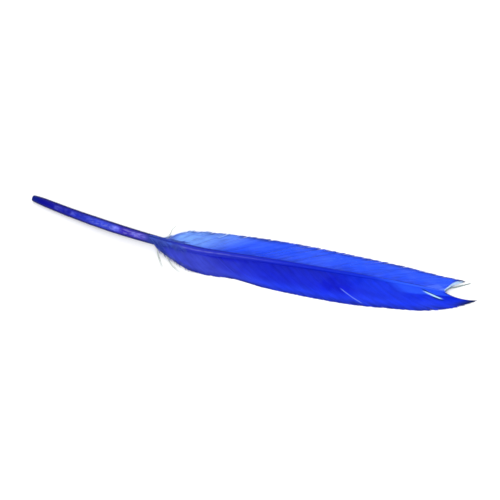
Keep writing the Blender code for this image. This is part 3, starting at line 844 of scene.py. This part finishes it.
def strandTree():
    tree, given, made = newGroup("strands with side hairs", "GeometryNodeTree", {
        "Routes": "Geometry", "Root Width": "Float", "Tip Width": "Float", "Steps": "Int", "Side Hairs": "Int",
        "Hair Length": "Float", "Lowest": "Float", "Seed": "Int", "Material": "Material",
    }, {"Strands": "Geometry"})
    seed = given["Seed"]
    routes = addNode(tree, "GeometryNodeMeshToCurve", {"Mesh": given["Routes"]}).outputs[0]
    routes = addNode(tree, "GeometryNodeResampleCurve", {"Curve": routes, "Count": given["Steps"]}).outputs[0]
    share = addNode(tree, "GeometryNodeSplineParameter").outputs["Factor"]
    girth = remap(tree, share, 0.0, 1.0, given["Root Width"], given["Tip Width"])
    profile = addNode(tree, "GeometryNodeCurvePrimitiveCircle", {"Resolution": 6, "Radius": 0.5}).outputs[0]
    stems = addNode(tree, "GeometryNodeCurveToMesh", {
        "Curve": routes, "Profile Curve": profile, "Scale": girth, "Fill Caps": True}).outputs[0]

    # side hairs lean forward along the strand, to either side in turn
    spots = addNode(tree, "GeometryNodeCurveToPoints", {"Curve": routes, "Count": given["Side Hairs"]}).outputs
    index = addNode(tree, "GeometryNodeInputIndex").outputs[0]
    parity = calc(tree, "SUBTRACT", times(tree, calc(tree, "MODULO", index, 2.0), 2.0), 1.0)
    lean = vectorOf(tree, times(tree, parity, diceValue(tree, seed, 0.55, 1.0)))
    turn = addNode(tree, "FunctionNodeEulerToRotation", {0: lean}).outputs[0]
    rotation = addNode(tree, "FunctionNodeRotateRotation", {
        "Rotation": spots["Rotation"], "Rotate By": turn}, rotation_space="LOCAL").outputs[0]
    hair = addNode(tree, "GeometryNodeMeshCone", {
        "Vertices": 4, "Side Segments": 1, "Fill Segments": 1,
        "Radius Top": 0.000008, "Radius Bottom": 0.00002, "Depth": 1.0}).outputs["Mesh"]
    size = vectorOf(tree, 1.0, 1.0, times(tree, given["Hair Length"], diceValue(tree, seed, 0.5, 1.0, 3)))
    hairs = addNode(tree, "GeometryNodeInstanceOnPoints", {
        "Points": spots["Points"], "Instance": hair, "Rotation": rotation, "Scale": size}).outputs[0]
    joined = addNode(tree, "GeometryNodeJoinGeometry")
    tree.links.new(hairs, joined.inputs[0])
    tree.links.new(stems, joined.inputs[0])
    plain = addNode(tree, "GeometryNodeRealizeInstances", {"Geometry": joined.outputs[0]}).outputs[0]
    spot = splitVector(tree, addNode(tree, "GeometryNodeInputPosition").outputs[0])
    raised = vectorOf(tree, spot["X"], spot["Y"], calc(tree, "MAXIMUM", spot["Z"], given["Lowest"]))
    plain = addNode(tree, "GeometryNodeSetPosition", {"Geometry": plain, "Position": raised}).outputs[0]
    painted = {"Geometry": plain, "Material": given["Material"]}
    feed(tree, made, {"Strands": addNode(tree, "GeometryNodeSetMaterial", painted).outputs[0]})
    return tree


def strandRoutes(name, strand):
    # each route becomes a few hairs that part a little towards their tips
    dice = random.Random(strand["seed"])
    bm = bmesh.new()
    for route in strand["routes"]:
        stations = [(i, *point) for i, point in enumerate(route)]
        last = len(route) - 1
        for hair in range(strand["hairs"]):
            drift = Vector((dice.uniform(-1, 1), dice.uniform(-1, 1), dice.uniform(-0.3, 0.5))) * strand["spread"]
            reach = 1.0 if hair == 0 else dice.uniform(0.75, 1.0)
            before = None
            for step in range(strandForm["routeSteps"] + 1):
                share = reach * step / strandForm["routeSteps"]
                middle = Vector([through(stations, share * last, column) for column in (1, 2, 3)])
                point = middle + drift * share * math.sin(strandForm["swing"] * share + hair)
                point.z = max(point.z, strandForm["routeLowest"])
                vert = bm.verts.new(toPart(point))
                if before:
                    bm.edges.new((before, vert))
                before = vert
    return meshObject(name, bm)


def strandMaterial(name, strand):
    material, tree, shader = startMaterial(name)
    place = objectPlace(tree)
    mottled = placedGroup(tree, dyeMottle, {
        "Place": place, "Color": (*strand["color"], 1.0), "Pale": (*strand["pale"], 1.0),
        "Cloud Scale": 420.0, "Fleck Scale": 2400.0, "Amount": 0.9})
    fibres = placedGroup(tree, fineFibres, {"Place": place, "Stretch": (700.0, 700.0, 700.0), "Contrast": 0.6})
    feed(tree, shader, {"Base Color": scaled(tree, mottled["Color"], fibres["Tone"]),
                        "Roughness": remap(tree, fibres["Height"], 0.3, 0.7, 0.5, 0.7)})
    return material


def fuzzRoutes(fuzz):
    dice = random.Random(fuzz["seed"])
    routes = []
    for i in range(fuzz["barbs"]):
        root = fuzz["fromRoot"] + (fuzz["toRoot"] - fuzz["fromRoot"]) * (i + dice.random()) / fuzz["barbs"]
        side = 1 if i % 2 else -1
        depth = through(shaft["stations"], root, 3) / 2
        middle = shaftMiddle(root)
        reach, sweep = dice.uniform(*fuzz["reach"]), dice.uniform(*fuzz["sweep"])
        if side > 0:
            reach *= fuzz["farReach"] * min((root - fuzz["fromRoot"]) / fuzz["farRamp"], 1.0)
        points = [middle + Vector((0.0, side * fuzz["rootSide"], depth * fuzz["rootUp"]))]
        for share in (0.35, 0.7, 1.0):
            x = root + sweep * share
            y = shaftSide(x) + side * (fuzz["innerSide"] + reach * share ** fuzz["curl"])
            over = through(shaft["stations"], x) + through(shaft["stations"], x, 3) / 2
            away = max(0.0, abs(y - shaftSide(x)) - fuzz["innerSide"])
            z = over - fuzz["slope"] * away + fuzz["lift"] * (1 - share) - fuzz["sink"]
            points.append(Vector((x, y, z)))
        routes.append(points)
    return routes


def edgeRoutes(down):
    dice = random.Random(down["seed"])
    vane, routes = down["vane"], []
    lift, fall = Vector((0.0, 0.0, down["lift"])), Vector((0.0, 0.0, down["droop"]))
    for i in range(down["edgeHairs"]):
        root = down["fromRoot"] + (down["toRoot"] - down["fromRoot"]) * dice.random() ** down["crowding"]
        inner, rim = [bedPoint(vane, root, 1.0, down[key]) for key in ("inner", "rim")]
        outward = Vector((0.0, vane["side"] * dice.uniform(*down["spreading"]), 0.0))
        ahead = ((rim - inner).normalized() + outward).normalized() * dice.uniform(*down["reach"])
        routes.append((inner + lift, rim + lift, rim + lift + ahead * 0.5, rim + lift + ahead - fall))
    return routes


baseFuzz["routes"] = fuzzRoutes(baseFuzz)
farDown["routes"], nearDown["routes"] = edgeRoutes(farDown), edgeRoutes(nearDown)
strands = strandTree()
loosePieces = []
for name, strand in (("looseStrand", looseStrand), ("paleBarb", paleBarb), ("baseFuzz", baseFuzz),
                     ("downWisps", downWisps), ("farDown", farDown), ("nearDown", nearDown)):
    values = {**treeInputs(strandForm), **treeInputs(strand), "Seed": strand["seed"],
              "Material": strandMaterial(name + "Barbs", strand)}
    piece = growWith(strandRoutes(name, strand), strands, values)
    loosePieces.append(piece)
    print(name, "grown,", len(piece.data.polygons), "faces")

for piece in [shaftPiece] + vanePieces + loosePieces:
    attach(piece, "root")
    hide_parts("feather")


# Floor, light and camera

studio = {
    "floorColor": (0.93, 0.93, 0.93), "floorSize": 4.0, "worldColor": (0.95, 0.97, 1.0), "worldStrength": 0.45,
    # name, place, size, power in watts, colour
    "lights": (
        ("frontSoftbox", (0.10, -0.62, 0.80), 0.7, 9.0, (1.0, 1.0, 1.0)),
        ("topSoftbox", (0.0, 0.15, 1.0), 1.2, 4.0, (1.0, 1.0, 1.0)),
        ("backFill", (-0.20, 0.80, 0.50), 0.8, 2.5, (1.0, 1.0, 1.0)),
    ),
}
view = {"azimuth": 10.35, "elevation": 55.0, "lens": 200.0, "fieldWidth": 0.152, "aim": (-0.0005, 0.0025, 0.0015)}


def makeFloor():
    half = studio["floorSize"] / 2
    mesh = bpy.data.meshes.new("floor")
    mesh.from_pydata([(-half, -half, 0), (half, -half, 0), (half, half, 0), (-half, half, 0)], [], [(0, 1, 2, 3)])
    floor = linkedObject("floor", mesh)
    material, tree, shader = startMaterial("paleFloor")
    grain, pale = noise(tree, objectPlace(tree), 900.0), studio["floorColor"]
    color = ramp(tree, grain, ((0.0, tuple(channel * 0.99 for channel in pale)), (1.0, pale)))
    feed(tree, shader, {"Base Color": color, "Roughness": 0.75, "Specular IOR Level": 0.2})
    mesh.materials.append(material)


def makeLights():
    world = bpy.data.worlds.new("softStudio")
    bpy.context.scene.world = world
    world.use_nodes = True
    background = world.node_tree.nodes["Background"]
    background.inputs["Color"].default_value = (*studio["worldColor"], 1.0)
    background.inputs["Strength"].default_value = studio["worldStrength"]
    for name, place, size, power, color in studio["lights"]:
        data = bpy.data.lights.new(name, "AREA")
        data.shape = "SQUARE"
        data.size, data.energy, data.color = size, power, color
        light = linkedObject(name, data)
        light.location = place
        light.rotation_euler = (-Vector(place)).to_track_quat("-Z", "Y").to_euler()


def makeCamera():
    azimuth, elevation = math.radians(view["azimuth"]), math.radians(view["elevation"])
    data = bpy.data.cameras.new("camera")
    data.lens = view["lens"]
    data.sensor_width = 36.0
    distance = view["fieldWidth"] * view["lens"] / data.sensor_width
    level = math.cos(elevation)
    back = Vector((math.sin(azimuth) * level, -math.cos(azimuth) * level, math.sin(elevation)))
    camera = linkedObject("camera", data)
    camera.location = Vector(view["aim"]) + back * distance
    camera.rotation_euler = (-back).to_track_quat("-Z", "Y").to_euler()
    data.clip_start = 0.01
    bpy.context.scene.camera = camera


makeFloor()
makeLights()
makeCamera()
bpy.context.scene.view_settings.view_transform = "Standard"
print("floor, lights and camera placed")
